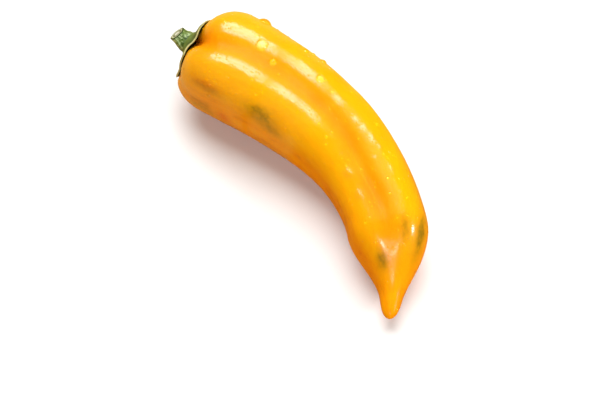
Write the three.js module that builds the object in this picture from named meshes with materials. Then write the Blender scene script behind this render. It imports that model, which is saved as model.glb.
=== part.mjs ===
// A long pointed sweet pepper, whole and freshly picked, lying on its side: the lobed
// fruit, the green calyx that caps its shoulder, and the cut stem that stands in the calyx.
// Millimetres, +Z up. The stem end points to -X and the tip to +X, and the fruit bows
// towards +Y. It rests on one small flat spot of its underside, on the plane z = 0.
import * as THREE from "three";

// The fruit's middle line, seen from above: a cubic Bezier curve from stem end to tip.
const CHORD = 163.6; // straight across, from the stem end to the tip
const STEM_HEADING = 23; // degrees from +X, where the line leaves the stem end
const TIP_HEADING = -42.5; // degrees from +X, where it reaches the tip
const STEM_HANDLE = 52; // how far each heading carries into the curve
const TIP_HANDLE = 84;

// The fruit's outline: its radius, against the distance along the middle line.
const SHOULDER_RADIUS = 26.5;
const WAIST_RADIUS = 19.4; // reached at WAIST_TO_TIP
const NECK_RADIUS = 4.6; // of the pointed end
const WAIST_TO_TIP = 22;
const NARROWING_START = 43; // these two are measured back from the tip
const NARROWING_END = 2;
const SHOULDER_LENGTH = 22; // the stretch that rounds the shoulder over to the stem end
const SHOULDER_POWER = 2.5; // 2 is an ellipse, more is squarer
const TIP_LENGTH = 9; // the stretch that rounds the tip off
const TIP_POWER = 2;

// The grooves between the lobes. "at" is in degrees round the middle line, from the top
// towards +Y, and the depth is at the shoulder: it shrinks with the radius.
const GROOVES = [
  { at: -4, halfWidth: 17, depth: 3.6 }, // the deep one, all along the top
  { at: -78, halfWidth: 13, depth: 0.9 }, // a faint dent in the inner flank
  { at: 100, halfWidth: 24, depth: 2.1 },
  { at: -145, halfWidth: 22, depth: 1.9 },
];
const GROOVE_FADE_START = 38; // the grooves run out before the tip, between these two
const GROOVE_FADE_END = 8;
const SWIRL = -12; // degrees that the grooves turn as they come over the shoulder
const SWIRL_LENGTH = 40;
const WANDER = -11; // degrees that they wander further on, round this distance
const WANDER_AT = 117;
const WANDER_REACH = 24;
const GROOVE_SPREAD = 0.45; // how much wider they grow, between these two distances
const SPREAD_START = 70;
const SPREAD_END = 125;
const SEAM_DEPTH = 4.5; // how far the deepest groove sinks into the stem end
const SEAM_LENGTH = 26;
const SEAM_INNER = 3; // the seam deepens between these two distances from the middle line
const SEAM_OUTER = 16;

// One lobe of the shoulder swells back past the calyx.
const HUMP = { at: -112, halfWidth: 32, height: 4 };
const HUMP_INNER = 9; // it rises between these two distances from the middle line
const HUMP_OUTER = 22;
const HUMP_LENGTH = 40; // and dies away along the fruit

// How the fruit lies.
const PRESSED_FLAT = 0.6; // depth of the underside that is pressed flat
const TIP_LIFT = 5; // height of the pointed end's underside above the plane

// The calyx: a thin six-pointed cap, with a collar round a socket for the stem.
const CALYX_RADIUS = 15.4; // across the flats
const CALYX_POINTS = 6;
const CALYX_TURN = 12; // degrees that its points are turned from the top
const CALYX_RIM = 0.8; // thickness at the rim
const CALYX_THICKNESS = 1.5; // at the foot of the collar, and of the socket's floor
const CALYX_DIP = 0.35; // how far it follows the fruit's grooves, from 0 to 1
const COLLAR_HEIGHT = 4.2; // above the shoulder
const COLLAR_WALL = 0.9;
const COLLAR_FLARE = 4.2; // how far its foot spreads

// The stem: it leaves the socket straight, bends upwards, and ends in a clean cut.
const STEM_BASE_RADIUS = 5.4;
const STEM_END_RADIUS = 4;
const STEM_LENGTH = 11.5; // from the socket's floor to the cut
const STEM_BEND = 28; // degrees upwards
const STEM_BEND_LENGTH = 6;
const STEM_RIBS = 5;
const STEM_RIB_HEIGHT = 0.22;
const CUT_CHAMFER = 0.5;

const FIT_GAP = 0.3; // between neighbouring pieces

const FRUIT_STEPS = { along: 52, around: 48 };
const CALYX_STEPS = { across: 5, around: 48 };
const STEM_STEPS = { along: 12, around: 30 };

const radians = THREE.MathUtils.degToRad;
const ramp = THREE.MathUtils.smootherstep;
const mix = THREE.MathUtils.lerp;

// The middle line, with a straight run-on behind the stem end.
function headingVector(degrees) {
  return new THREE.Vector3(Math.cos(radians(degrees)), Math.sin(radians(degrees)), 0);
}
const stemHeading = headingVector(STEM_HEADING);
const tipHeading = headingVector(TIP_HEADING);
const stemEnd = new THREE.Vector3(0, 0, 0);
const tipEnd = new THREE.Vector3(CHORD, 0, 0);
const middleLine = new THREE.CubicBezierCurve3(
  stemEnd,
  stemEnd.clone().addScaledVector(stemHeading, STEM_HANDLE),
  tipEnd.clone().addScaledVector(tipHeading, -TIP_HANDLE),
  tipEnd,
);
const LENGTH = middleLine.getLength();

const waistShare = (distance) => ramp(distance, 0, LENGTH - WAIST_TO_TIP);
const neckShare = (distance) =>
  ramp(distance, LENGTH - NARROWING_START, LENGTH - NARROWING_END);

function middleHeight(distance) {
  const alongBody = mix(SHOULDER_RADIUS, WAIST_RADIUS, waistShare(distance)) - PRESSED_FLAT;
  return mix(alongBody, NECK_RADIUS + TIP_LIFT, neckShare(distance));
}

// The point that lies so far along the middle line, and so far to its side and above it.
function besideMiddleLine(distance, side, up) {
  const share = THREE.MathUtils.clamp(distance / LENGTH, 0, 1);
  const point = middleLine.getPointAt(share);
  const heading = middleLine.getTangentAt(share);
  point.addScaledVector(heading, Math.min(distance, 0));
  point.x -= side * heading.y;
  point.y += side * heading.x;
  point.z = Math.max(middleHeight(distance) + up, 0);
  return point;
}

// A quarter of a superellipse: 1 at share 0, falling to 0 at share 1.
const roundedOff = (share, power) => (1 - share ** power) ** (1 / power);

function outlineRadius(distance) {
  const body = mix(
    mix(SHOULDER_RADIUS, WAIST_RADIUS, waistShare(distance)),
    NECK_RADIUS,
    neckShare(distance),
  );
  const overShoulder = Math.max(1 - distance / SHOULDER_LENGTH, 0);
  const overTip = Math.max(1 - (LENGTH - distance) / TIP_LENGTH, 0);
  return body * roundedOff(overShoulder, SHOULDER_POWER) * roundedOff(overTip, TIP_POWER);
}

// How far along the middle line the stem end's surface lies, at this distance from it.
function endSurface(radius) {
  return SHOULDER_LENGTH * (1 - roundedOff(radius / SHOULDER_RADIUS, SHOULDER_POWER));
}

// The turn from a place in degrees to an angle in radians, between -180 and 180 degrees.
function turnFrom(place, angle) {
  const turn = THREE.MathUtils.radToDeg(angle) - place;
  return THREE.MathUtils.euclideanModulo(turn + 180, 360) - 180;
}

function grooveDepth(angle, distance) {
  const swirl = SWIRL * (1 - ramp(distance, 0, SWIRL_LENGTH));
  const wander = WANDER * Math.exp(-(((distance - WANDER_AT) / WANDER_REACH) ** 2));
  const spread = 1 + GROOVE_SPREAD * ramp(distance, SPREAD_START, SPREAD_END);
  const fade = 1 - ramp(distance, LENGTH - GROOVE_FADE_START, LENGTH - GROOVE_FADE_END);
  let depth = 0;
  for (const groove of GROOVES) {
    const off = turnFrom(groove.at + swirl + wander, angle);
    depth += groove.depth * Math.exp(-((off / groove.halfWidth / spread) ** 2));
  }
  return depth * fade;
}
const deepestGroove = Math.max(...GROOVES.map((groove) => groove.depth));

// A point of the fruit, from its place on the plain round outline. "follow" says how much
// of the grooves it takes, so that what lies on the fruit can follow them less.
function onFruit(radius, distance, angle, follow = 1) {
  const groove = follow * grooveDepth(angle, Math.max(distance, 0));
  const seam = 1 - ramp(distance, 0, SEAM_LENGTH);
  const sink = (SEAM_DEPTH * seam * ramp(radius, SEAM_INNER, SEAM_OUTER) * groove) / deepestGroove;
  const swell = Math.exp(-((turnFrom(HUMP.at, angle) / HUMP.halfWidth) ** 2));
  const behind = ramp(radius, HUMP_INNER, HUMP_OUTER) * (1 - ramp(distance, 0, HUMP_LENGTH));
  const hump = HUMP.height * swell * behind;
  const lobed = radius * (1 - groove / SHOULDER_RADIUS);
  const along = distance + sink - hump;
  return besideMiddleLine(along, lobed * Math.sin(angle), lobed * Math.cos(angle));
}

// A lathed solid, each of whose points is then moved to place(radius, height, angle).
// Its faces point outwards when its profile runs away from the tip.
function lathedSolid(profile, stepsAround, place) {
  const geometry = new THREE.LatheGeometry(profile, stepsAround);
  const position = geometry.getAttribute("position");
  for (let i = 0; i < position.count; i++) {
    const radius = Math.hypot(position.getX(i), position.getZ(i));
    const angle = Math.atan2(position.getX(i), position.getZ(i));
    const moved = place(radius, position.getY(i), angle);
    position.setXYZ(i, moved.x, moved.y, moved.z);
  }
  geometry.computeVertexNormals();
  return geometry;
}

function makeFruit() {
  const profile = [];
  for (let step = FRUIT_STEPS.along; step >= 0; step--) {
    const even = step / FRUIT_STEPS.along;
    // Rings crowd towards both ends, where the outline turns in.
    const share = even - (0.85 * Math.sin(2 * Math.PI * even)) / (2 * Math.PI);
    const onAxis = step === 0 || step === FRUIT_STEPS.along;
    const distance = share * LENGTH;
    profile.push(new THREE.Vector2(onAxis ? 0 : outlineRadius(distance), distance));
  }
  return lathedSolid(profile, FRUIT_STEPS.around, onFruit);
}

const SOCKET_RADIUS = STEM_BASE_RADIUS + FIT_GAP;
const COLLAR_RADIUS = SOCKET_RADIUS + COLLAR_WALL;

// A regular outline of straight sides, as a share of its radius across the flats.
function pointedOutline(angle) {
  const side = (2 * Math.PI) / CALYX_POINTS;
  const turned = THREE.MathUtils.euclideanModulo(angle - radians(CALYX_TURN), side);
  return 1 / Math.cos(turned - side / 2);
}

function makeCalyx() {
  const foot = COLLAR_RADIUS + COLLAR_FLARE;
  const rim = CALYX_RADIUS - CALYX_RIM;
  // Distance from the axis, and height above the fruit.
  const profile = [new THREE.Vector2(0, FIT_GAP), new THREE.Vector2(COLLAR_RADIUS, FIT_GAP)];
  for (let step = 0; step <= CALYX_STEPS.across; step++) {
    const across = step / CALYX_STEPS.across;
    profile.push(new THREE.Vector2(mix(foot, rim, across), FIT_GAP));
  }
  profile.push(new THREE.Vector2(CALYX_RADIUS, FIT_GAP + CALYX_RIM / 2));
  for (let step = 0; step <= CALYX_STEPS.across; step++) {
    const across = step / CALYX_STEPS.across;
    const height = mix(FIT_GAP + CALYX_RIM, CALYX_THICKNESS, across);
    profile.push(new THREE.Vector2(mix(rim, foot, across), height));
  }
  profile.push(
    new THREE.Vector2(mix(COLLAR_RADIUS, foot, 0.25), mix(COLLAR_HEIGHT, CALYX_THICKNESS, 0.6)),
    new THREE.Vector2(COLLAR_RADIUS, COLLAR_HEIGHT),
    new THREE.Vector2(SOCKET_RADIUS, COLLAR_HEIGHT),
    new THREE.Vector2(SOCKET_RADIUS, CALYX_THICKNESS),
    new THREE.Vector2(0, CALYX_THICKNESS),
  );
  return lathedSolid(profile, CALYX_STEPS.around, (radius, height, angle) => {
    const outer = ramp(radius, COLLAR_RADIUS, CALYX_RADIUS);
    const spread = radius * mix(1, pointedOutline(angle), outer);
    return onFruit(spread, endSurface(spread) - height, angle, CALYX_DIP * outer);
  });
}

function makeStem() {
  const collarTop = COLLAR_HEIGHT - CALYX_THICKNESS - FIT_GAP;
  const bendRadius = STEM_BEND_LENGTH / radians(STEM_BEND);
  const profile = [new THREE.Vector2(0, 0)];
  for (let step = 0; step <= STEM_STEPS.along; step++) {
    const height = mix(0, STEM_LENGTH - CUT_CHAMFER, step / STEM_STEPS.along);
    const thin = ramp(height, collarTop, STEM_LENGTH - CUT_CHAMFER);
    profile.push(new THREE.Vector2(mix(STEM_BASE_RADIUS, STEM_END_RADIUS, thin), height));
  }
  profile.push(
    new THREE.Vector2(STEM_END_RADIUS - CUT_CHAMFER, STEM_LENGTH),
    new THREE.Vector2(0, STEM_LENGTH),
  );
  return lathedSolid(profile, STEM_STEPS.around, (radius, height, angle) => {
    // Straight to the collar's top, then an arc, then straight again.
    const bent = THREE.MathUtils.clamp(height - collarTop, 0, STEM_BEND_LENGTH) / bendRadius;
    const beyond = Math.max(height - collarTop - STEM_BEND_LENGTH, 0);
    const straight = Math.min(height, collarTop) + CALYX_THICKNESS + FIT_GAP;
    const out = straight + bendRadius * Math.sin(bent) + beyond * Math.cos(bent);
    const rise = bendRadius * (1 - Math.cos(bent)) + beyond * Math.sin(bent);
    const ribs = ramp(height, collarTop, collarTop + STEM_BEND_LENGTH) * STEM_RIB_HEIGHT;
    const share = radius / STEM_BASE_RADIUS;
    const ribbed = radius + share * ribs * Math.cos(STEM_RIBS * angle);
    const up = ribbed * Math.cos(angle);
    return besideMiddleLine(
      -(out - up * Math.sin(bent)),
      ribbed * Math.sin(angle),
      rise + up * Math.cos(bent),
    );
  });
}

function piece(name, geometry, color, roughness) {
  const material = new THREE.MeshStandardMaterial({ color, roughness, metalness: 0 });
  const mesh = new THREE.Mesh(geometry, material);
  mesh.name = name;
  return mesh;
}

const pepper = new THREE.Group();
pepper.add(piece("fruit", makeFruit(), 0xf7a600, 0.25));
pepper.add(piece("calyx", makeCalyx(), 0x3f6b2a, 0.6));
pepper.add(piece("stem", makeStem(), 0x6f9a48, 0.6));

// The origin is on the resting plane, under the middle of the whole pepper's box.
const centre = new THREE.Box3().setFromObject(pepper).getCenter(new THREE.Vector3());
pepper.position.set(-centre.x, -centre.y, 0);

export default pepper;
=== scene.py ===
import math

import bpy
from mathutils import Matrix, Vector


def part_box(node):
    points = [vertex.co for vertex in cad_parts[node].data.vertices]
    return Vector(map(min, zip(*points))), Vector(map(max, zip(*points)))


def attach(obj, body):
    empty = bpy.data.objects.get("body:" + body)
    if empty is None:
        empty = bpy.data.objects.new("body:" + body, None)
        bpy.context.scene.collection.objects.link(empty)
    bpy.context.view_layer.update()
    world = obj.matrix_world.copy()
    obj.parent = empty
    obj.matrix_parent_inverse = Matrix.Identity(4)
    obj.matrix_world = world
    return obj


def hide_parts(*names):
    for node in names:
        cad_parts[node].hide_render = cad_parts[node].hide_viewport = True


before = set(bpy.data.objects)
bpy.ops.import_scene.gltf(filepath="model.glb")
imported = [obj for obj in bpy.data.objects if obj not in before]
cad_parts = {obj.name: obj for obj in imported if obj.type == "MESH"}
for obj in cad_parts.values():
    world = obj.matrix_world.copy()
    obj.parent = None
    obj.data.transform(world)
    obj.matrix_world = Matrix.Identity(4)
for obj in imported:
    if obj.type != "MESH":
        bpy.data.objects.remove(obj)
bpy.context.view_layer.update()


# ---- The fruit ----
# The fruit is one thick-walled pod, grown in one piece: bright yellow-orange flesh under a
# glossy waxy skin. It swells at the shoulder, bows to one side, and ends in a blunt nipple.
# Its lobes meet in long grooves, and the deepest one runs all along the top.

MM = 0.001

FRUIT_SIZES = {
    "Chord": 163.6,
    "Stem heading": 23,
    "Tip heading": -42.5,
    "Stem handle": 52,
    "Tip handle": 84,
    "Shoulder radius": 26.5,
    "Waist radius": 19.4,
    "Neck radius": 4.6,
    "Waist to tip": 22,
    "Narrowing start": 43,
    "Narrowing end": 2,
    "Shoulder length": 22,
    "Shoulder power": 2.5,
    "Tip length": 9,
    "Tip power": 2,
    "Groove fade start": 38,
    "Groove fade end": 8,
    "Swirl": -12,
    "Swirl length": 40,
    "Wander": -11,
    "Wander at": 117,
    "Wander reach": 24,
    "Spread": 0.45,
    "Spread start": 70,
    "Spread end": 125,
    "Seam depth": 4.5,
    "Seam length": 26,
    "Seam inner": 3,
    "Seam outer": 16,
    "Hump at": -112,
    "Hump half width": 32,
    "Hump height": 4,
    "Hump inner": 9,
    "Hump outer": 22,
    "Hump length": 40,
    "Pressed flat": 0.6,
    "Tip lift": 5,
}
# Each groove's place round the middle line from the top, its half width, and its depth.
GROOVES = {
    "Top groove": (-4, 17, 3.6),
    "Inner dent": (-78, 13, 0.9),
    "Outer groove": (100, 24, 2.1),
    "Under groove": (-145, 22, 1.9),
}
DEEPEST_GROOVE = "Top groove"
FRUIT_SURFACE = {
    "Rings": 360,
    "Steps round": 260,
    "Ripple depth": 0.2,
    "Ripple size": 7.5,
    "Dimple depth": 0.15,
    "Dimple size": 3.6,
    "Spot height": 0.22,
    "Swell depth": 0.55,
    "Swell size": 27,
    "Fold depth": 0.42,
    "Fold start": 88,
    "Fold end": 148,
    "Fold fade": 14,
    "Fold at": -20.5,
    "Fold bow": 13,
    "Fold middle": 113,
    "Fold reach": 30,
    "Fold lip": 1.2,
    "Fold width": 22,
    "Ring crowding": 0.85,
}
MERGED_WITHIN = 0.002


WHOLE_NUMBERS = ("Rings", "Steps round", "Seed")


class Wire:
    """An output socket of a node tree. Sums and products of wires add Math nodes to it."""

    def __init__(self, tree, socket=None):
        self.tree = tree
        self.socket = socket

    def node(self, kind, settings=None, sockets=None, output=0):
        """Adds a node: its settings first, then a value or a wire for each socket named."""
        made = self.tree.nodes.new(kind)
        for name, value in (settings or {}).items():
            setattr(made, name, value)
        for key, value in (sockets or {}).items():
            if isinstance(value, Wire):
                self.tree.links.new(value.socket, made.inputs[key])
            else:
                made.inputs[key].default_value = value
        return Wire(self.tree, made.outputs[output] if len(made.outputs) else None)

    def other(self, name):
        """Another output of the node that this wire leaves."""
        return Wire(self.tree, self.socket.node.outputs[name])

    def maths(self, operation, *values):
        sockets = dict(enumerate(values))
        return self.node("ShaderNodeMath", {"operation": operation}, sockets)

    def __add__(self, value):
        return self.maths("ADD", self, value)

    def __radd__(self, value):
        return self.maths("ADD", value, self)

    def __sub__(self, value):
        return self.maths("SUBTRACT", self, value)

    def __rsub__(self, value):
        return self.maths("SUBTRACT", value, self)

    def __mul__(self, value):
        return self.maths("MULTIPLY", self, value)

    def __rmul__(self, value):
        return self.maths("MULTIPLY", value, self)

    def __truediv__(self, value):
        return self.maths("DIVIDE", self, value)

    def __rtruediv__(self, value):
        return self.maths("DIVIDE", value, self)

    def __pow__(self, value):
        return self.maths("POWER", self, value)

    def __neg__(self):
        return self.maths("MULTIPLY", self, -1)


def least(a, b):
    return a.maths("MINIMUM", a, b)


def most(a, b):
    return a.maths("MAXIMUM", a, b)


def held(value):
    """The value, held between 0 and 1."""
    return most(least(value, 1), 0)


def sine(degrees):
    return degrees.maths("SINE", degrees.maths("RADIANS", degrees))


def cosine(degrees):
    return degrees.maths("COSINE", degrees.maths("RADIANS", degrees))


def mix(a, b, share):
    return a + (b - a) * share


def ramp(value, start, end):
    """0 up to the start, 1 from the end on, and a smooth slope between."""
    return value.node(
        "ShaderNodeMapRange",
        {"interpolation_type": "SMOOTHERSTEP"},
        {"Value": value, "From Min": start, "From Max": end},
    )


def bell(value):
    """1 at zero, and near nothing beyond 2 either way."""
    return value.maths("EXPONENT", -(value * value))


def turned_from(angle, other):
    """The turn from one angle to another, between -180 and 180 degrees."""
    return angle.maths("WRAP", angle - other, 180, -180)


def vector(x, y, z):
    wire = next(value for value in (x, y, z) if isinstance(value, Wire))
    return wire.node("ShaderNodeCombineXYZ", {}, {0: x, 1: y, 2: z})


def split(wire):
    x = wire.node("ShaderNodeSeparateXYZ", {}, {0: wire})
    return x, x.other("Y"), x.other("Z")


def on_vectors(operation, a, b):
    return a.node("ShaderNodeVectorMath", {"operation": operation}, {0: a, 1: b})


def noise(place, size, detail=2.0, roughness=0.5):
    """Smooth noise round 0, about -1 to 1, whose lumps are about this size."""
    sockets = {"Vector": place, "Scale": 1 / size, "Detail": detail, "Roughness": roughness}
    return (place.node("ShaderNodeTexNoise", {}, sockets) - 0.5) * 2


def geometry_tree(name, sizes, takes_geometry):
    """A Geometry Nodes tree with a named input for each size, and a wire for each input."""
    tree = bpy.data.node_groups.new(name, "GeometryNodeTree")
    tree.interface.new_socket("Geometry", in_out="OUTPUT", socket_type="NodeSocketGeometry")
    if takes_geometry:
        tree.interface.new_socket("Geometry", in_out="INPUT", socket_type="NodeSocketGeometry")
    for label, value in sizes.items():
        kind = "NodeSocketInt" if label in WHOLE_NUMBERS else "NodeSocketFloat"
        tree.interface.new_socket(label, in_out="INPUT", socket_type=kind)
    inputs = Wire(tree).node("NodeGroupInput")
    wires = {"Geometry": inputs.other("Geometry")} if takes_geometry else {}
    for label in sizes:
        wires[label] = inputs.other(label)
    return tree, wires


class FruitRule:
    """The rule of the fruit's shape, added to a node tree that has the fruit's sizes."""

    def __init__(self, size):
        self.size = size
        chord = size["Chord"]
        stem_heading = size["Stem heading"]
        tip_heading = size["Tip heading"]
        stem_handle = vector(
            size["Stem handle"] * cosine(stem_heading), size["Stem handle"] * sine(stem_heading), 0
        )
        tip_handle = vector(
            chord - size["Tip handle"] * cosine(tip_heading),
            -(size["Tip handle"] * sine(tip_heading)),
            0,
        )
        self.line = chord.node(
            "GeometryNodeCurvePrimitiveBezierSegment",
            {"mode": "POSITION"},
            {
                "Resolution": 400,
                "Start": (0, 0, 0),
                "Start Handle": stem_handle,
                "End Handle": tip_handle,
                "End": vector(chord, 0, 0),
            },
        )
        self.length = chord.node("GeometryNodeCurveLength", {}, {"Curve": self.line})

    def from_tip(self, label):
        return self.length - self.size[label]

    def waist_share(self, distance):
        return ramp(distance, 0, self.from_tip("Waist to tip"))

    def neck_share(self, distance):
        return ramp(distance, self.from_tip("Narrowing start"), self.from_tip("Narrowing end"))

    def middle_height(self, distance):
        size = self.size
        body = mix(size["Shoulder radius"], size["Waist radius"], self.waist_share(distance))
        neck = size["Neck radius"] + size["Tip lift"]
        return mix(body - size["Pressed flat"], neck, self.neck_share(distance))

    def beside_middle_line(self, distance, side, up):
        """The point so far along the middle line, and so far to its side and above it."""
        on_line = distance.node(
            "GeometryNodeSampleCurve",
            {"mode": "LENGTH"},
            {"Curves": self.line, "Length": most(least(distance, self.length), 0)},
            "Position",
        )
        x, y, _ = split(on_line)
        heading_x, heading_y, _ = split(on_line.other("Tangent"))
        behind = least(distance, 0)
        return vector(
            x + heading_x * behind - heading_y * side,
            y + heading_y * behind + heading_x * side,
            most(self.middle_height(distance) + up, 0),
        )

    def rounded_off(self, share, power):
        """A quarter of a superellipse: 1 at share 0, falling to 0 at share 1."""
        return (1 - share**power) ** (1 / power)

    def outline_radius(self, distance):
        size = self.size
        body = mix(size["Shoulder radius"], size["Waist radius"], self.waist_share(distance))
        body = mix(body, size["Neck radius"], self.neck_share(distance))
        over_shoulder = most(1 - distance / size["Shoulder length"], 0)
        over_tip = most(1 - (self.length - distance) / size["Tip length"], 0)
        return (
            body
            * self.rounded_off(over_shoulder, size["Shoulder power"])
            * self.rounded_off(over_tip, size["Tip power"])
        )

    def end_surface(self, radius):
        """How far along the middle line the stem end's surface lies."""
        size = self.size
        share = least(radius / size["Shoulder radius"], 1)
        return size["Shoulder length"] * (1 - self.rounded_off(share, size["Shoulder power"]))

    def groove_depth(self, angle, distance):
        size = self.size
        swirl = size["Swirl"] * (1 - ramp(distance, 0, size["Swirl length"]))
        wander = size["Wander"] * bell((distance - size["Wander at"]) / size["Wander reach"])
        spread = 1 + size["Spread"] * ramp(distance, size["Spread start"], size["Spread end"])
        start, end = self.from_tip("Groove fade start"), self.from_tip("Groove fade end")
        fade = 1 - ramp(distance, start, end)
        depth = 0
        for groove in GROOVES:
            off = turned_from(angle, size[groove] + swirl + wander)
            off = off / size[groove + " half width"] / spread
            depth = depth + size[groove + " depth"] * bell(off)
        return depth * fade

    def on_fruit(self, radius, distance, angle, follow=1.0):
        """A point of the fruit, from its place on the plain round outline, and the same
        point as if the middle line were straight: how far along, to the side, and up."""
        size = self.size
        groove = self.groove_depth(angle, most(distance, 0)) * follow
        seam = 1 - ramp(distance, 0, size["Seam length"])
        nearby = ramp(radius, size["Seam inner"], size["Seam outer"])
        sink = size["Seam depth"] * seam * nearby * groove / size[DEEPEST_GROOVE + " depth"]
        swell = bell(turned_from(angle, size["Hump at"]) / size["Hump half width"])
        behind = ramp(radius, size["Hump inner"], size["Hump outer"])
        hump = size["Hump height"] * swell * behind * (1 - ramp(distance, 0, size["Hump length"]))
        lobed = radius * (1 - groove / size["Shoulder radius"])
        along, side, up = distance + sink - hump, lobed * sine(angle), lobed * cosine(angle)
        return self.beside_middle_line(along, side, up), vector(along, side, up)


def all_sizes(*groups):
    """The fruit's sizes and its grooves', with those of another piece."""
    sizes = dict(FRUIT_SIZES)
    for groove, (place, half_width, depth) in GROOVES.items():
        sizes[groove] = place
        sizes[groove + " half width"] = half_width
        sizes[groove + " depth"] = depth
    for group in groups:
        sizes.update(group)
    return sizes


def set_positions(geometry, position):
    return geometry.node("GeometryNodeSetPosition", {}, {"Geometry": geometry, "Position": position})


def store(geometry, name, value, data_type="FLOAT_VECTOR"):
    return geometry.node(
        "GeometryNodeStoreNamedAttribute",
        {"data_type": data_type, "domain": "POINT"},
        {"Geometry": geometry, "Name": name, "Value": value},
    )


def finish_tree(geometry, material):
    """Ends a tree: smooth, with no instances left, and in its material."""
    geometry = geometry.node("GeometryNodeRealizeInstances", {}, {"Geometry": geometry})
    geometry = geometry.node("GeometryNodeSetShadeSmooth", {}, {"Geometry": geometry})
    geometry = geometry.node(
        "GeometryNodeSetMaterial", {}, {"Geometry": geometry, "Material": material}
    )
    geometry.node("NodeGroupOutput", {}, {0: geometry})


def grow(name, base, tree, sizes):
    """Runs a tree on a base mesh and keeps the result as a plain mesh, in millimetres."""
    piece = bpy.data.objects.new(name, base)
    bpy.context.scene.collection.objects.link(piece)
    modifier = piece.modifiers.new("Shape", "NODES")
    modifier.node_group = tree
    for item in tree.interface.items_tree:
        if item.in_out == "INPUT" and item.name in sizes:
            modifier[item.identifier] = sizes[item.name]
    evaluated = piece.evaluated_get(bpy.context.evaluated_depsgraph_get())
    mesh = bpy.data.meshes.new_from_object(evaluated)
    mesh.name = name
    piece.modifiers.remove(modifier)
    piece.data = mesh
    bpy.data.meshes.remove(base)
    return piece


def put_in_frame(piece, offset):
    """Moves a mesh made in millimetres from the stem end to its place in the frame."""
    for vertex in piece.data.vertices:
        vertex.co = (vertex.co + offset) * MM


def colour_mix(share, first, second):
    return share.node(
        "ShaderNodeMix",
        {"data_type": "RGBA"},
        {0: share, 6: first, 7: second},
        2,
    )


def colour(red, green, blue):
    return (red, green, blue, 1.0)


def new_material(name):
    material = bpy.data.materials.new(name)
    material.use_nodes = True
    material.node_tree.nodes.clear()
    return material, Wire(material.node_tree)


def finish_material(shader):
    shader.node("ShaderNodeOutputMaterial", {}, {"Surface": shader})


def attribute(start, name, output="Fac"):
    return start.node("ShaderNodeAttribute", {"attribute_name": name}, {}, output)


# Marks on the skin: distance along, angle, length, width and strength.
# Olive-green patches laid into the skin's colour.
OLIVE_PATCHES = [
    (52, -59, 8, 4, 0.7),
    (60, -68, 7, 3, 0.4),
    (22, -62, 9, 2, 0.4),
    (20, -94, 7, 4, 0.5),
    (144, 19, 5, 2.2, 0.6),
    (146, 48, 7, 3, 0.8),
    (155, -26, 3.5, 2.6, 0.75),
    (127, 62, 22, 3.5, 0.35),
]
RED_MARKS = [(33, -91, 4, 3, 0.7), (20, -60, 8, 3, 0.55), (153, -70, 16, 5, 0.4)]

# Low swellings of the skin, where the wax is smooth, each with the same five figures.
SMOOTH_SPOTS = [
    (78, 15, 3, 1.7, 0.7),
    (90, 14, 1.6, 1.1, 0.8),
    (95, 15, 1.8, 1.4, 1),
    (101, 17, 2.2, 1.5, 1),
    (106, 20, 1.4, 1.0, 0.7),
    (117, 22, 2.4, 1.2, 0.8),
    (110, -36, 2.4, 2.0, 2.1),
    (123, -35, 2.2, 1.8, 1.9),
    (120, -15, 4, 1.1, 0.7),
    (134, -12, 6, 1.3, 0.8),
    (150, -10, 6, 3.6, 1),
    (145, 31, 6, 3.2, 0.9),
]

# The wax has a dull band across it behind the shoulder. It starts to wear further along, and
# beyond the last of these distances it has worn off, apart from the smooth swellings.
DULL_BAND_AT = 47
DULL_BAND_HALF_WIDTH = 4
WORN_FROM = 60
WORN_BEYOND = 82

SKIN_YELLOW = colour(0.96, 0.435, 0.002)
# Orange of the skin, also used as the painted shade of the grooves and the lower sides.
SKIN_ORANGE = colour(0.90, 0.24, 0.001)
SKIN_DEEP = colour(0.75, 0.13, 0.002)
# Darker orange of the lower sides' streaks, partly painted shade.
SKIN_STREAK_AND_SHADE = colour(0.60, 0.19, 0.002)
SKIN_OLIVE = colour(0.20, 0.125, 0.004)


def patches(distance, angle, reach, ragged, marks):
    """A mask of soft-edged spots on the skin, each an oval with a ragged edge."""
    mask = 0
    for along, at, length, width, strength in marks:
        off_along = (distance - along) / length
        off_round = turned_from(angle, at) * reach * (math.pi / 180) / width
        squared = off_along * off_along + off_round * off_round
        mask = mask + squared.maths("EXPONENT", -most(squared + ragged, 0)) * strength
    return mask


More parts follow.
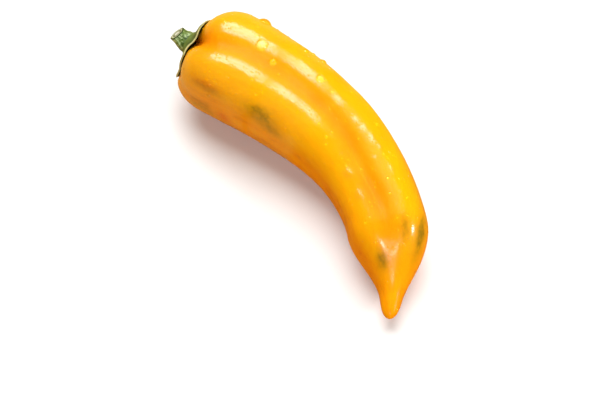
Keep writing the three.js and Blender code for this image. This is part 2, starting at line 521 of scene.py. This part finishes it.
def make_skin():
    material, start = new_material("pepper_skin")
    straight = attribute(start, "straight", "Vector")
    distance, side, up = split(straight)
    angle = distance.maths("DEGREES", distance.maths("ARCTAN2", side, up))
    reach = (side * side + up * up) ** 0.5
    groove = attribute(start, "groove")

    streaks = noise(on_vectors("MULTIPLY", straight, (0.2, 1, 1)), 3.4, 4, 0.6)
    clouds = noise(straight, 20, 3, 0.55)
    # The lower sides of the fruit: painted shade makes them a deeper orange, with stronger streaks.
    lower_side_shade = 1 - ramp(up, -6, 17)
    # Besides the skin's own clouds and streaks, the grooves get a deeper orange, as painted shade.
    orange = 0.12 + clouds * 0.3 + streaks * (0.12 + lower_side_shade * 0.45) + groove * 0.7 + lower_side_shade * 0.5
    skin = colour_mix(held(orange), SKIN_YELLOW, SKIN_ORANGE)
    # Darker streaks laid only on the lower sides: partly the skin's own streaks, partly painted
    # shade.
    lower_streaks_and_shade = ramp(streaks + clouds * 0.5, 0.02, 0.45) * lower_side_shade
    skin = colour_mix(lower_streaks_and_shade * 0.65, skin, SKIN_STREAK_AND_SHADE)
    ragged = noise(straight, 3.4, 4, 0.65) * 1.1 + streaks * 0.5
    red = patches(distance, angle, reach, ragged, RED_MARKS)
    skin = colour_mix(least(red, 1), skin, SKIN_DEEP)
    green = patches(distance, angle, reach, ragged, OLIVE_PATCHES)
    skin = colour_mix(least(green, 1), skin, SKIN_OLIVE)

    grain = noise(straight, 0.8, 3, 0.6)
    dimples = noise(straight, 2.6, 2, 0.5)
    relief = grain * 0.35 + dimples
    bump = start.node(
        "ShaderNodeBump", {}, {"Strength": 0.6, "Distance": 0.07 * MM, "Height": relief}
    )
    smooth = patches(distance, angle, reach, noise(straight, 3, 2) * 0.5, SMOOTH_SPOTS)
    smooth = least(smooth * 1.4 + ramp(noise(straight, 4.6, 2, 0.5), 0.2, 0.45) * 0.4, 1)
    band = bell((distance + clouds * 12 - DULL_BAND_AT) / DULL_BAND_HALF_WIDTH) * 0.85
    worn = most(ramp(distance + clouds * 30, WORN_FROM, WORN_BEYOND), band) * (1 - smooth)
    # Dust and pits take the shine off the bottom of the grooves, and off small specks.
    dusty = ramp(groove, 0.38, 0.7) * 0.96
    pits = ramp(noise(straight, 1.1, 3, 0.7), 0.08, 0.24)
    shine = (1 - worn * 0.94) * (1 - dusty) * (1 - pits)
    shader = start.node(
        "ShaderNodeBsdfPrincipled",
        {},
        {
            "Base Color": skin,
            "Roughness": 0.36 + dimples * 0.05,
            "IOR": 1.25,
            "Specular IOR Level": 0.12,
            "Coat Weight": shine,
            "Coat Roughness": 0.19,
            "Coat IOR": 1.7,
            "Subsurface Weight": 0.1,
            "Subsurface Radius": (1.0, 0.45, 0.1),
            "Subsurface Scale": 1.5 * MM,
            "Normal": bump,
        },
    )
    finish_material(shader)
    return material


def make_fruit():
    sizes = all_sizes(FRUIT_SURFACE)
    tree, size = geometry_tree("Fruit", sizes, False)
    rule = FruitRule(size)
    grid = size["Chord"].node(
        "GeometryNodeMeshGrid",
        {},
        {"Size X": 1, "Size Y": 1, "Vertices X": size["Rings"], "Vertices Y": size["Steps round"]},
    )
    x, y, _ = split(grid.node("GeometryNodeInputPosition"))
    even = x + 0.5
    # Rings crowd towards both ends, where the outline turns in.
    share = even - sine(even * 360) * size["Ring crowding"] / (2 * math.pi)
    distance, angle = share * rule.length, y * 360
    radius = rule.outline_radius(distance)
    _, plain = rule.on_fruit(radius, distance, angle)

    slender = radius / size["Shoulder radius"]
    drawn_out = on_vectors("MULTIPLY", plain, (0.45, 1, 1))
    relief = noise(drawn_out, size["Ripple size"], 1) * size["Ripple depth"]
    relief = relief + noise(plain, size["Swell size"], 1) * size["Swell depth"]
    relief = relief + noise(plain, size["Dimple size"], 2) * size["Dimple depth"]
    spots = patches(distance, angle, radius, noise(plain, 3, 2) * 0.5, SMOOTH_SPOTS)
    relief = relief + spots * size["Spot height"]
    # A thin fold where the near lobe laps over the edge of the groove.
    off_middle = (distance - size["Fold middle"]) / size["Fold reach"]
    past_fold = turned_from(angle, size["Fold at"] + off_middle * off_middle * size["Fold bow"])
    lip, fade = size["Fold lip"], size["Fold fade"]
    fold = ramp(past_fold, -lip, lip) * (1 - ramp(past_fold, 2, size["Fold width"]))
    present = ramp(distance, size["Fold start"], size["Fold start"] + fade)
    present = present * (1 - ramp(distance, size["Fold end"] - fade, size["Fold end"]))
    relief = relief * slender - fold * present * size["Fold depth"]
    placed, straight = rule.on_fruit(most(radius + relief * ramp(radius, 0, 8), 0), distance, angle)

    groove = rule.groove_depth(angle, distance) / size[DEEPEST_GROOVE + " depth"]
    # Attributes come first: their values are worked out from the grid's own flat places.
    geometry = store(store(grid, "straight", straight), "groove", groove, "FLOAT")
    geometry = set_positions(geometry, placed)
    geometry = geometry.node(
        "GeometryNodeMergeByDistance", {}, {"Geometry": geometry, "Distance": MERGED_WITHIN}
    )
    finish_tree(geometry, make_skin())
    return grow("fruit_skin", bpy.data.meshes.new("base"), tree, sizes)


fruit = make_fruit()
made_low = Vector([min(v.co[axis] for v in fruit.data.vertices) for axis in range(3)])
made_high = Vector([max(v.co[axis] for v in fruit.data.vertices) for axis in range(3)])
fruit_low, fruit_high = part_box("fruit")
# The way from the stem end, where the rule starts, to the frame's own origin.
TO_FRAME = (fruit_low + fruit_high) / (2 * MM) - (made_low + made_high) / 2
TO_FRAME.z = 0
put_in_frame(fruit, TO_FRAME)
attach(fruit, "root")
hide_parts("fruit")


# ---- The calyx ----
# The calyx is the flower's dry leafy cap, grown onto the shoulder: a thin six-cornered disc
# of dark green, with a raised rib to each corner, a thin pale margin that lifts a little
# off the fruit, and a low collar that rises round the foot of the stem.

CALYX_SIZES = {
    "Calyx radius": 15.4,
    "Calyx corners": 6,
    "Calyx turn": 12,
    "Calyx dip": 0.35,
    "Collar radius": 6.6,
    "Rib height": 0.35,
    "Rib half width": 0.8,
    "Skin relief": 0.16,
    "Margin lift": 0.4,
    "Margin waves": 0.035,
}
CALYX_GAP = 0.3
CALYX_THICKNESS = 1.5
CALYX_RIM = 0.8
COLLAR_HEIGHT = 4.2
COLLAR_FLARE = 4.2
COLLAR_MOUTH = 5.5

CALYX_DARK = colour(0.022, 0.055, 0.010)
CALYX_LIGHT = colour(0.150, 0.230, 0.045)
CALYX_MARGIN = colour(0.62, 0.58, 0.24)
CALYX_BROWN = colour(0.050, 0.032, 0.012)


def lathed_base(profile, steps):
    """A closed base mesh. A vertex lies at its angle from +Z towards +X, and its height is Y."""
    points, faces = [], []
    for radius, height in profile[1:-1]:
        for step in range(steps):
            turn = 2 * math.pi * step / steps
            points.append((radius * math.sin(turn), height, radius * math.cos(turn)))
    for ring in range(len(profile) - 3):
        for step in range(steps):
            here, beside = ring * steps + step, ring * steps + (step + 1) % steps
            faces.append((here, beside, beside + steps, here + steps))
    last = (len(profile) - 3) * steps
    points += [(0, profile[0][1], 0), (0, profile[-1][1], 0)]
    for step in range(steps):
        beside = (step + 1) % steps
        faces.append((len(points) - 2, beside, step))
        faces.append((len(points) - 1, last + step, last + beside))
    mesh = bpy.data.meshes.new("base")
    mesh.from_pydata(points, [], faces)
    return mesh


def even_steps(start, end, count):
    """Points of a profile from just after the start up to the end."""
    return [
        (start[0] + (end[0] - start[0]) * i / count, start[1] + (end[1] - start[1]) * i / count)
        for i in range(1, count + 1)
    ]


def arc_steps(centre, radius, start, end, count):
    """Points of a profile on an arc, between two angles in degrees."""
    turns = [math.radians(start + (end - start) * i / count) for i in range(count + 1)]
    return [(centre[0] + radius * math.cos(t), centre[1] + radius * math.sin(t)) for t in turns]


def calyx_profile():
    foot = CALYX_SIZES["Collar radius"] + COLLAR_FLARE
    rim = CALYX_RIM / 2
    rim_centre = (CALYX_SIZES["Calyx radius"] - rim, CALYX_GAP + rim)
    profile = [(0, CALYX_GAP)] + even_steps((0, CALYX_GAP), (rim_centre[0], CALYX_GAP), 30)
    profile += arc_steps(rim_centre, rim, -80, 90, 8)
    profile += even_steps(profile[-1], (foot, CALYX_THICKNESS), 18)
    flare = COLLAR_HEIGHT - CALYX_THICKNESS
    for step in range(1, 17):
        share = step / 16
        inward = foot - (COLLAR_FLARE + 0.3) * share
        profile.append((inward, CALYX_THICKNESS + flare * (0.25 * share + 0.75 * share**2.4)))
    lip = (COLLAR_MOUTH + 0.4, COLLAR_HEIGHT - 0.1)
    profile += arc_steps(lip, 0.4, 70, 180, 6)
    profile += even_steps((COLLAR_MOUTH, COLLAR_HEIGHT - 0.1), (COLLAR_MOUTH, CALYX_THICKNESS), 4)
    return profile + [(3, CALYX_THICKNESS), (0, CALYX_THICKNESS)]


def lathed_place(geometry):
    """The radius, height and angle of each vertex of a lathed base mesh."""
    x, height, z = split(geometry.node("GeometryNodeInputPosition"))
    radius = (x * x + z * z) ** 0.5
    return radius, height, x.maths("DEGREES", x.maths("ARCTAN2", x, z))


def make_calyx_green():
    material, start = new_material("calyx_green")
    place = attribute(start, "flat_place", "Vector")
    margin = attribute(start, "margin")
    rib = attribute(start, "rib")
    blotches = noise(place, 3.2, 4, 0.65)
    grain = noise(place, 0.7, 3, 0.6)
    across, _, upward = split(place)
    reach = (across * across + upward * upward) ** 0.5
    inner = 1 - ramp(reach, 6, 12)
    light = 0.28 + blotches * 0.6 + grain * 0.35 + rib * 0.4 + inner * 0.6
    green = colour_mix(held(light), CALYX_DARK, CALYX_LIGHT)
    scars = ramp(noise(place, 2.1, 2, 0.5), 0.42, 0.72) * 0.7
    green = colour_mix(scars, green, CALYX_BROWN)
    green = colour_mix(held(margin * (0.75 + grain * 0.6)), green, CALYX_MARGIN)
    bump = start.node(
        "ShaderNodeBump", {}, {"Strength": 0.6, "Distance": 0.12 * MM, "Height": grain + blotches}
    )
    shader = start.node(
        "ShaderNodeBsdfPrincipled",
        {},
        {"Base Color": green, "Roughness": 0.5 + grain * 0.12, "IOR": 1.4, "Normal": bump},
    )
    finish_material(shader)
    return material


def make_calyx():
    sizes = all_sizes(CALYX_SIZES)
    tree, size = geometry_tree("Calyx", sizes, True)
    rule = FruitRule(size)
    radius, height, angle = lathed_place(size["Chord"])
    reach, collar = size["Calyx radius"], size["Collar radius"]
    outer = ramp(radius, collar, reach)
    side = 360 / size["Calyx corners"]
    past_corner = angle.maths("FLOORED_MODULO", angle - size["Calyx turn"], side)
    outline = mix(1, 1 / cosine(past_corner - side / 2), outer)
    round_place = vector(sine(angle) * 14, 0, cosine(angle) * 14)
    waves = noise(round_place, 4.5, 2)
    spread = radius * outline * (1 + waves * size["Margin waves"] * ramp(radius, reach - 4, reach))

    flat_place = vector(spread * sine(angle), height, spread * cosine(angle))
    upper = ramp(height, CALYX_GAP + 0.3, CALYX_GAP + 0.75)
    off_corner = angle.maths("WRAP", angle - size["Calyx turn"], side / 2, -(side / 2))
    off_side = angle.maths("WRAP", off_corner - side / 2, side / 2, -(side / 2))
    arc = radius * (math.pi / 180)
    fade = ramp(radius, 5, 9) * (1 - ramp(radius, reach - 2.5, reach))
    rib = bell(off_corner * arc / size["Rib half width"])
    rib = (rib + bell(off_side * arc / size["Rib half width"]) * 0.45) * fade
    bumps = noise(flat_place, 1.9, 3, 0.6) + noise(flat_place, 5, 1) * 0.8
    lift = ramp(radius, reach - 4.5, reach) * size["Margin lift"] * (1 + waves)
    raised = height + upper * (rib * size["Rib height"] + bumps * size["Skin relief"]) + lift
    placed, _ = rule.on_fruit(
        spread, rule.end_surface(spread) - raised, angle, size["Calyx dip"] * outer
    )
    geometry = store(size["Geometry"], "flat_place", flat_place)
    geometry = store(geometry, "margin", ramp(radius, reach - 1.1, reach - 0.2), "FLOAT")
    geometry = set_positions(store(geometry, "rib", rib, "FLOAT"), placed)
    finish_tree(geometry, make_calyx_green())
    return grow("calyx_cap", lathed_base(calyx_profile(), 180), tree, sizes)


calyx = make_calyx()
put_in_frame(calyx, TO_FRAME)
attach(calyx, "root")
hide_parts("calyx")


# ---- The stem ----
# The stem is a short tough stalk, grown out of the calyx and cut with a knife. It has five
# low ribs and long fibres under a dull green skin, and it bends upwards out of the collar.
# Its cut face shows a green rind, a pale ring of wood and a pith that has begun to dry.

STEM_SIZES = {
    "Stem length": 11.5,
    "Stem base": 5.4,
    "Stem end": 4,
    "Stem bend": 28,
    "Stem bend length": 6,
    "Stem foot": 1.8,
    "Collar top": 2.4,
    "Ribs": 5,
    "Stem rib height": 0.22,
    "Fibre relief": 0.2,
    "Cut slope": 0.27,
}
CUT_ROUNDING = 0.35
# The wood and the pith have dried and sunk below the rind.
WOOD_SUNK = 0.28
PITH_SUNK = 0.2

STEM_DARK = colour(0.024, 0.062, 0.009)
STEM_GREEN = colour(0.160, 0.250, 0.045)
STEM_PALE = colour(0.48, 0.61, 0.30)
CUT_PALE = colour(0.60, 0.64, 0.42)
CUT_DARK = colour(0.060, 0.075, 0.020)
CUT_PITH = colour(0.78, 0.78, 0.66)


def stem_profile():
    end, length = STEM_SIZES["Stem end"], STEM_SIZES["Stem length"]
    base = STEM_SIZES["Stem base"]
    side_top = length - CUT_ROUNDING
    profile = [(0, 0), (base * 0.6, 0), (base, 0)] + even_steps((base, 0), (base, side_top), 70)
    profile += arc_steps((base - CUT_ROUNDING, side_top), CUT_ROUNDING, 10, 90, 5)
    for step in range(1, 31):
        radius = (base - CUT_ROUNDING) * (1 - step / 31)
        share = radius / base
        wood = WOOD_SUNK * math.exp(-(((share - 0.52) / 0.11) ** 2))
        pith = PITH_SUNK * math.exp(-((share / 0.12) ** 2))
        profile.append((radius, length - (wood + pith)))
    return profile + [(0, length - PITH_SUNK)]


def make_stem_green():
    material, start = new_material("stem_green")
    place = attribute(start, "stem_place", "Vector")
    cut = attribute(start, "cut")
    across = attribute(start, "across")
    long_place = on_vectors("MULTIPLY", place, (1, 1, 0.16))
    fibres = noise(long_place, 0.9, 4, 0.65)
    blotches = noise(place, 3.4, 3, 0.6)
    dark = held(0.38 + blotches * 1.1 + fibres * 1.8)
    green = colour_mix(dark, STEM_GREEN, STEM_DARK)
    green = colour_mix(ramp(-fibres, 0.0, 0.22) * 0.9, green, STEM_PALE)
    grain = noise(place, 0.35, 3, 0.6)
    ring = across + grain * 0.03
    face = colour_mix(ramp(ring, 0.74, 0.90), CUT_PALE, STEM_DARK)
    face = colour_mix(bell((ring - 0.52) / 0.12), face, CUT_DARK)
    face = colour_mix(1 - ramp(ring, 0.22, 0.36), face, CUT_PITH)
    face = colour_mix(bell(ring / 0.10) * 0.8, face, CUT_DARK)
    shade = colour_mix(cut, green, face)
    bump = start.node(
        "ShaderNodeBump", {}, {"Strength": 0.6, "Distance": 0.1 * MM, "Height": fibres + grain * 0.4}
    )
    shader = start.node(
        "ShaderNodeBsdfPrincipled",
        {},
        {"Base Color": shade, "Roughness": 0.42 + grain * 0.15, "IOR": 1.42, "Normal": bump},
    )
    finish_material(shader)
    return material


def make_stem():
    sizes = all_sizes(STEM_SIZES)
    tree, size = geometry_tree("Stem", sizes, True)
    rule = FruitRule(size)
    radius, height, angle = lathed_place(size["Chord"])
    collar_top, bend_length = size["Collar top"], size["Stem bend length"]
    thin = ramp(height, collar_top, size["Stem length"] - 0.5)
    narrowed = radius * mix(1, size["Stem end"] / size["Stem base"], thin)

    # The knife went through at a slant, so the upper side is the shorter.
    slant = size["Cut slope"] * (narrowed * cosine(angle) + size["Stem end"])
    uncut = height
    height = uncut - slant * ramp(uncut, collar_top + 2, size["Stem length"])

    share = radius / size["Stem base"]
    ribs = cosine(angle * size["Ribs"]) * ramp(height, collar_top, collar_top + bend_length)
    stem_place = vector(narrowed * sine(angle), narrowed * cosine(angle), height)
    fibre_place = on_vectors("MULTIPLY", stem_place, (1, 1, 0.14))
    fibres = noise(fibre_place, 1.1, 2) + noise(stem_place, 2.6, 2) * 0.9
    on_side = ramp(share, 0.8, 0.95) * ramp(height, collar_top - 0.8, collar_top + 1)
    relief = share * ribs * size["Stem rib height"] + fibres * size["Fibre relief"] * on_side
    ribbed = narrowed + relief

    bend = size["Stem bend"]
    bend_radius = bend_length / (bend * (math.pi / 180))
    bent = most(least(height - collar_top, bend_length), 0) / bend_length * bend
    beyond = most(height - collar_top - bend_length, 0)
    straight = least(height, collar_top) + size["Stem foot"]
    out = straight + bend_radius * sine(bent) + beyond * cosine(bent)
    rise = bend_radius * (1 - cosine(bent)) + beyond * sine(bent)
    above = ribbed * cosine(angle)
    placed = rule.beside_middle_line(
        -(out - above * sine(bent)), ribbed * sine(angle), rise + above * cosine(bent)
    )
    cut = ramp(uncut, size["Stem length"] - 0.5, size["Stem length"] - 0.34)
    geometry = store(size["Geometry"], "stem_place", stem_place)
    geometry = store(store(geometry, "cut", cut, "FLOAT"), "across", share, "FLOAT")
    geometry = set_positions(geometry, placed)
    finish_tree(geometry, make_stem_green())
    return grow("stem_stalk", lathed_base(stem_profile(), 120), tree, sizes)


stem = make_stem()
put_in_frame(stem, TO_FRAME)
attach(stem, "root")
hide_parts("stem")


# ---- The water ----
# Water left from washing: a few large drops that sit where they ran together, and a fine
# mist of beads over the upper skin. Clear water, held on the wax by its own surface.

# Each large drop's distance along the fruit, angle from the top, and width.
DROPS = [
    (26, 57, 6.6),
    (35, 12, 6.2),
    (44, 2, 4.2),
    (51, 43, 3.4),
    (54, 49, 2.8),
    (59, 53, 3.6),
    (66, 19, 4.6),
    (74, 17, 2),
    (78, 40, 1.8),
    (88, -30, 1.6),
    (96, 36, 1.7),
    (30, -40, 1.5),
    (121, 10, 1.6),
    (40, 75, 3),
    (60, 95, 2.4),
    (85, 80, 2.2),
    (24, -70, 2),
]
# How much of a drop's radius lies under the skin.
DROP_SINK = 0.6
MIST_SIZES = {
    "Beads per square metre": 150000,
    "Finest bead": 0.18,
    "Widest bead": 0.85,
    "Seed": 4,
}


def make_water():
    material, start = new_material("clear_water")
    place = start.node("ShaderNodeTexCoord", {}, {}, "Object")
    film = noise(place, 1.5 * MM, 2)
    # A bead is clear in its middle, and round its steep edge its colour is darkened to olive as
    # painted shade.
    edge = ramp(start.node("ShaderNodeLayerWeight", {}, {"Blend": 0.5}, "Facing"), 0.16, 0.4)
    shader = start.node(
        "ShaderNodeBsdfPrincipled",
        {},
        {
            "Base Color": colour_mix(edge, colour(0.93, 0.90, 0.80), colour(0.45, 0.46, 0.22)),
            "Roughness": 0.03 + film * 0.02,
            "IOR": 1.33,
            "Transmission Weight": 1.0,
        },
    )
    # Light falls through the water onto the skin under it.
    clear = start.node("ShaderNodeBsdfTransparent", {}, {"Color": colour(1, 1, 1)})
    shadow = start.node("ShaderNodeLightPath", {}, {}, "Is Shadow Ray")
    finish_material(start.node("ShaderNodeMixShader", {}, {0: shadow, 1: shader, 2: clear}))
    return material


def skin_of(fruit, wire):
    return wire.node(
        "GeometryNodeObjectInfo", {"transform_space": "ORIGINAL"}, {"Object": fruit}, "Geometry"
    )


def beads_on(points, normal, radius, sink, bead, material):
    """Sets a bead on each point, sunk into the skin by a share of its radius."""
    turn = normal.node("FunctionNodeAlignEulerToVector", {"axis": "Z"}, {"Vector": normal})
    down = on_vectors("MULTIPLY", normal, vector(radius * -sink, radius * -sink, radius * -sink))
    points = points.node("GeometryNodeSetPosition", {}, {"Geometry": points, "Offset": down})
    beads = points.node(
        "GeometryNodeInstanceOnPoints",
        {},
        {
            "Points": points,
            "Instance": bead,
            "Rotation": turn,
            "Scale": vector(radius, radius, radius),
        },
    )
    finish_tree(beads, material)


def make_drops(material):
    sizes = all_sizes({"Drop sink": DROP_SINK})
    tree, size = geometry_tree("Drops", sizes, True)
    rule = FruitRule(size)
    distance, angle, width = split(size["Chord"].node("GeometryNodeInputPosition"))
    placed, _ = rule.on_fruit(rule.outline_radius(distance), distance, angle)
    placed = on_vectors("ADD", placed, tuple(TO_FRAME))
    placed = on_vectors("MULTIPLY", placed, (MM, MM, MM))
    points = store(size["Geometry"], "width", width, "FLOAT")
    points = set_positions(points, placed)
    skin = skin_of(fruit, placed)
    nearest = {}
    for name, kind in (("spot", "GeometryNodeInputPosition"), ("normal", "GeometryNodeInputNormal")):
        nearest[name] = skin.node(
            "GeometryNodeSampleNearestSurface",
            {"data_type": "FLOAT_VECTOR"},
            {"Mesh": skin, "Value": placed.node(kind)},
        )
    points = store(points, "normal", nearest["normal"])
    points = set_positions(points, nearest["spot"])
    width = points.node("GeometryNodeInputNamedAttribute", {"data_type": "FLOAT"}, {"Name": "width"})
    normal = points.node(
        "GeometryNodeInputNamedAttribute", {"data_type": "FLOAT_VECTOR"}, {"Name": "normal"}
    )
    # A sphere sunk by this share of its radius shows a cap of the width wanted.
    radius = width * MM / (2 * (1 - size["Drop sink"] * size["Drop sink"]) ** 0.5)
    bead = points.node("GeometryNodeMeshUVSphere", {}, {"Segments": 40, "Rings": 24, "Radius": 1})
    beads_on(points, normal, radius, size["Drop sink"], bead, material)
    base = bpy.data.meshes.new("base")
    base.from_pydata([tuple(drop) for drop in DROPS], [], [])
    return grow("water_drops", base, tree, sizes)


def make_mist(material):
    tree, size = geometry_tree("Mist", MIST_SIZES, False)
    skin = skin_of(fruit, size["Seed"])
    x, y, up = split(skin.node("GeometryNodeInputNormal"))
    clusters = noise(skin.node("GeometryNodeInputPosition"), 9 * MM, 2)
    density = size["Beads per square metre"] * ramp(up, 0.05, 0.6) * ramp(clusters, -0.35, 0.3)
    scattered = skin.node(
        "GeometryNodeDistributePointsOnFaces",
        {"distribute_method": "RANDOM"},
        {"Mesh": skin, "Density": density, "Seed": size["Seed"]},
    )
    chance = skin.node("FunctionNodeRandomValue", {"data_type": "FLOAT"}, {"Seed": size["Seed"]}, 1)
    # Most beads are fine, and few are wide.
    radius = mix(size["Finest bead"], size["Widest bead"], chance**5) * MM
    bead = skin.node("GeometryNodeMeshUVSphere", {}, {"Segments": 9, "Rings": 6, "Radius": 1})
    beads_on(scattered, scattered.other("Normal"), radius, 0.5, bead, material)
    return grow("water_mist", bpy.data.meshes.new("base"), tree, MIST_SIZES)


water = make_water()
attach(make_drops(water), "root")
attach(make_mist(water), "root")


# ---- The studio ----
# A plain pale table under one large soft light and two small ones, with a white
# backdrop all round, and the camera that looks down on the fruit.

FLOOR_HALF = 3.0
# Away from the fruit the table goes over into an evenly lit white backdrop.
TABLE_ENDS = 0.16
BACKDROP_STARTS = 0.75
CAMERA_AZIMUTH = 56.55
CAMERA_ELEVATION = 61.3
CAMERA_DISTANCE = 0.6995
CAMERA_LENS = 90
# The point looked at, from the stem end, in millimetres.
LOOKED_AT = Vector((93.1, -1.5, 15))


def make_floor():
    material, start = new_material("table_top")
    place = start.node("ShaderNodeTexCoord", {}, {}, "Object")
    mottle = noise(place, 0.05, 2, 0.5)
    shade = colour_mix(mottle * 0.5 + 0.5, colour(0.88, 0.88, 0.88), colour(0.92, 0.92, 0.92))
    white = start.node("ShaderNodeBsdfPrincipled", {}, {"Base Color": shade, "Roughness": 0.6})
    # The light it throws back on the fruit is that of a duller, warmer board.
    dull = start.node("ShaderNodeBsdfDiffuse", {}, {"Color": colour(0.62, 0.40, 0.11)})
    seen = start.node("ShaderNodeLightPath", {}, {}, "Is Camera Ray")
    x, y, _ = split(place)
    away = ramp((x * x + y * y) ** 0.5, TABLE_ENDS, BACKDROP_STARTS)
    glow = start.node("ShaderNodeEmission", {}, {"Color": colour(1, 1, 1), "Strength": 1.0})
    top = start.node("ShaderNodeMixShader", {}, {0: away, 1: white, 2: glow})
    finish_material(start.node("ShaderNodeMixShader", {}, {0: seen, 1: dull, 2: top}))
    half = FLOOR_HALF
    mesh = bpy.data.meshes.new("floor")
    corners = [(-half, -half, 0), (half, -half, 0), (half, half, 0), (-half, half, 0)]
    mesh.from_pydata(corners, [], [(0, 1, 2, 3)])
    mesh.materials.append(material)
    floor = bpy.data.objects.new("floor", mesh)
    bpy.context.scene.collection.objects.link(floor)


def make_light(name, direction, distance, size, power):
    lamp = bpy.data.lights.new(name, "AREA")
    lamp.shape = "ELLIPSE"
    lamp.size, lamp.size_y = size
    lamp.energy = power
    holder = bpy.data.objects.new(name, lamp)
    toward = Vector(direction).normalized()
    holder.location = toward * distance
    holder.rotation_euler = toward.to_track_quat("Z", "Y").to_euler()
    bpy.context.scene.collection.objects.link(holder)


def make_camera():
    azimuth, elevation = math.radians(CAMERA_AZIMUTH), math.radians(CAMERA_ELEVATION)
    back = Vector(
        (
            math.sin(azimuth) * math.cos(elevation),
            -math.cos(azimuth) * math.cos(elevation),
            math.sin(elevation),
        )
    )
    camera = bpy.data.cameras.new("camera")
    camera.lens = CAMERA_LENS
    camera.sensor_width = 36
    holder = bpy.data.objects.new("camera", camera)
    holder.location = (TO_FRAME + LOOKED_AT) * MM + back * CAMERA_DISTANCE
    holder.rotation_euler = back.to_track_quat("Z", "Y").to_euler()
    bpy.context.scene.collection.objects.link(holder)
    bpy.context.scene.camera = holder


def make_world():
    world = bpy.data.worlds.new("studio")
    world.use_nodes = True
    start = Wire(world.node_tree)
    world.node_tree.nodes.clear()
    # The backdrop is white, and the room round it gives only a dim fill.
    dim = start.node("ShaderNodeBackground", {}, {"Color": colour(1, 0.85, 0.6), "Strength": 0.15})
    white = start.node("ShaderNodeBackground", {}, {"Color": colour(1, 1, 1), "Strength": 1.0})
    seen = start.node("ShaderNodeLightPath", {}, {}, "Is Camera Ray")
    sky = start.node("ShaderNodeMixShader", {}, {0: seen, 1: dim, 2: white})
    sky.node("ShaderNodeOutputWorld", {}, {"Surface": sky})
    bpy.context.scene.world = world


make_floor()
make_light("key", (-0.40, 0.22, 0.89), 0.9, (1.02, 0.88), 11.6)
make_light("front", (0.66, -0.45, 0.60), 0.9, (0.19, 0.17), 3.0)
make_light("side", (0.74, 0.50, 0.45), 0.9, (0.3, 0.2), 3.0)
make_world()
make_camera()
bpy.context.scene.view_settings.view_transform = "Standard"
